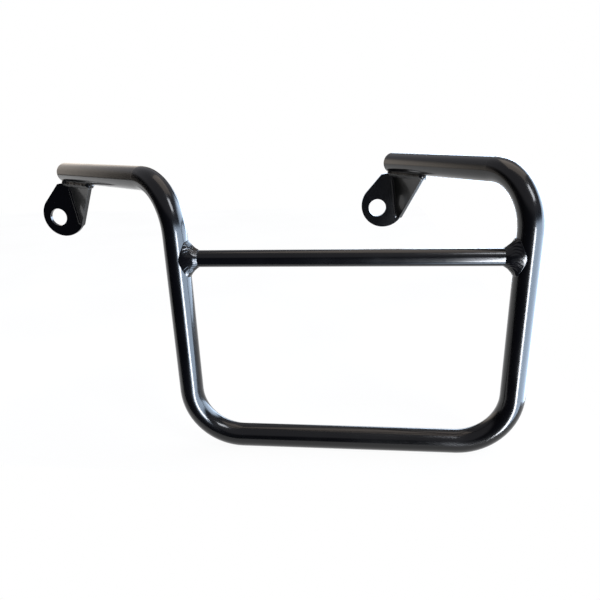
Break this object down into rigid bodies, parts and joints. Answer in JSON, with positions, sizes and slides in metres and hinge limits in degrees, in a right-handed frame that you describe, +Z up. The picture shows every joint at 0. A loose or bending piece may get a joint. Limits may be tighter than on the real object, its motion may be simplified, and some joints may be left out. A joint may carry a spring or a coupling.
{
  "type": "pannier frame",
  "caption": "Welded tube frame that fixes to the left side of a motorcycle and holds a pannier bag clear of the wheel, with a hoop, a cross bar and two drilled ears.",
  "frame": {"origin": "centre of the front ear's fixing hole, on the ear's inboard face", "axes": "+X to the rear of the motorcycle, +Y inboard to the machine, +Z up, as mounted on the left side"},
  "size_m": [0.5249, 0.2068, 0.268],
  "materials": {
    "tube_black": "satin black paint, slightly orange-peeled",
    "bar_black": "satin black paint, slightly orange-peeled",
    "plate_black": "satin black paint, slightly orange-peeled",
    "tube_cap": "satin black paint, slightly orange-peeled",
    "weld_bead": "satin black paint over a rippled weld bead"
  },
  "bodies": {
    "root": {"hoop_tube": "tube_black", "front_tube_cap": "tube_cap", "rear_tube_cap": "tube_cap", "cross_bar": "bar_black", "front_bar_weld": "weld_bead", "rear_bar_weld": "weld_bead", "front_ear": "plate_black", "rear_ear": "plate_black", "front_gusset": "plate_black", "rear_gusset": "plate_black", "front_ear_weld": "weld_bead", "rear_ear_weld": "weld_bead", "front_gusset_weld": "weld_bead", "rear_gusset_weld": "weld_bead", "front_seam_weld": "weld_bead", "rear_seam_weld": "weld_bead"}
  },
  "joints": []
}
